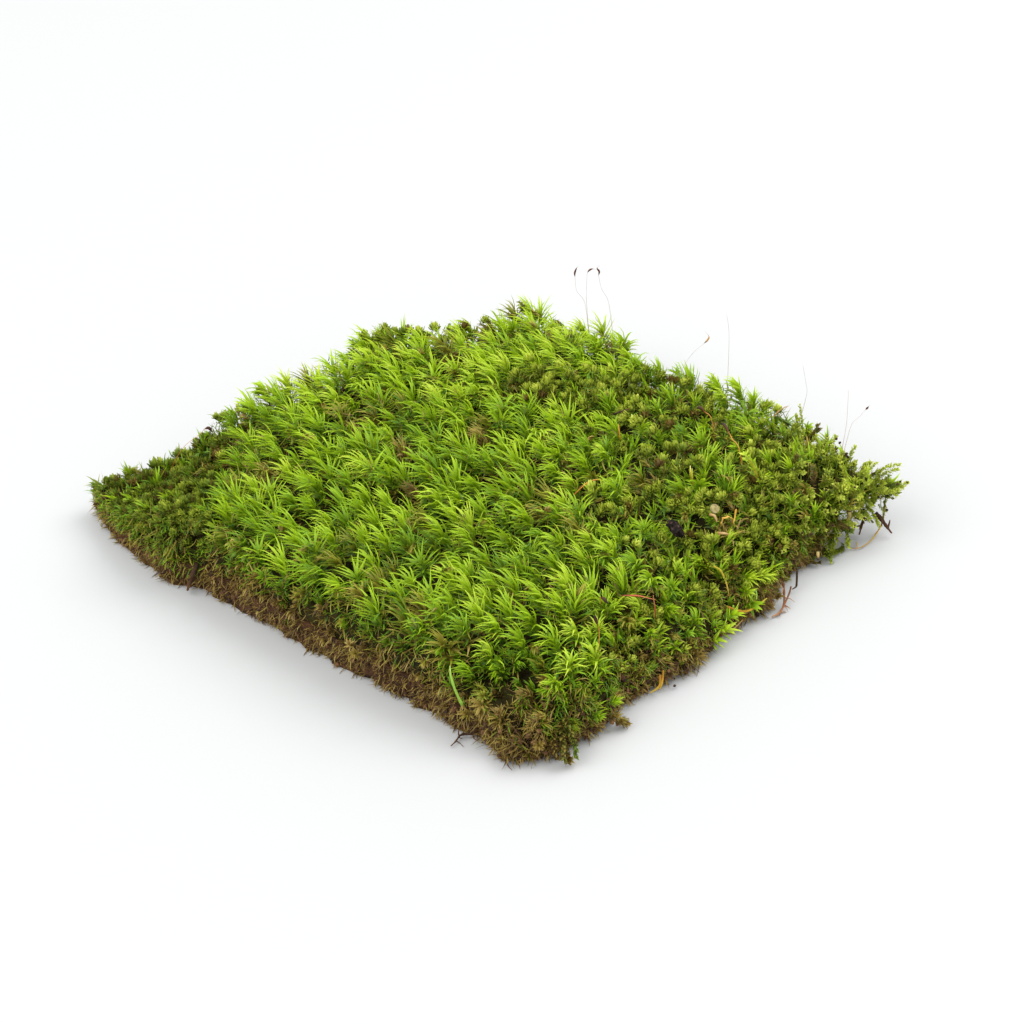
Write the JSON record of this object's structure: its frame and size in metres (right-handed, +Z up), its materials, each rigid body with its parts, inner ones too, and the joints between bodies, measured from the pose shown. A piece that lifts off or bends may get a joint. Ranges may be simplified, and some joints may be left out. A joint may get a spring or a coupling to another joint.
{
  "type": "moss clump",
  "caption": "Square-cut mat of living moss on a thin slab of peat, with tufted top, stalked capsules and loose roots.",
  "frame": {"origin": "middle of the bounding box at the flat cut underside, on the surface that it rests on", "axes": "+Z up out of the moss, +X along the cut front side, +Y towards the back"},
  "size_m": [0.1806, 0.1702, 0.0488],
  "materials": {
    "peat": "matt crumbly fibrous peat",
    "broom_moss": "soft, slightly shiny narrow leaves",
    "knob_moss": "soft matt short leaves",
    "stalk": "smooth thin dry stalk",
    "straw": "dry satin stem",
    "root": "rough matt root",
    "bark": "rough dark bark",
    "husk": "dry papery husk"
  },
  "bodies": {
    "root": {"peat_base": "peat", "broom_moss_turf": "broom_moss", "knob_moss_left": "knob_moss", "knob_moss_right": "knob_moss", "knob_moss_far": "knob_moss", "knob_moss_back": "knob_moss", "sporophyte_01": "stalk", "sporophyte_02": "stalk", "sporophyte_03": "stalk", "sporophyte_04": "stalk", "sporophyte_05": "stalk", "sporophyte_06": "stalk", "sporophyte_07": "stalk", "sporophyte_08": "stalk", "sporophyte_09": "stalk", "sporophyte_10": "stalk", "sporophyte_11": "stalk", "sporophyte_12": "stalk", "sporophyte_13": "stalk", "yellow_shoot": "straw", "red_stalk": "stalk", "arch_stalk": "straw", "pale_stem": "straw", "straw_1": "straw", "straw_2": "straw", "straw_3": "straw", "root_left": "root", "root_near": "root", "root_right_1": "root", "root_right_2": "root", "root_corner_1": "root", "root_corner_2": "root", "root_loop": "straw", "bark_crumb": "bark", "seed_husk": "husk", "curled_leaf": "husk"}
  },
  "joints": []
}
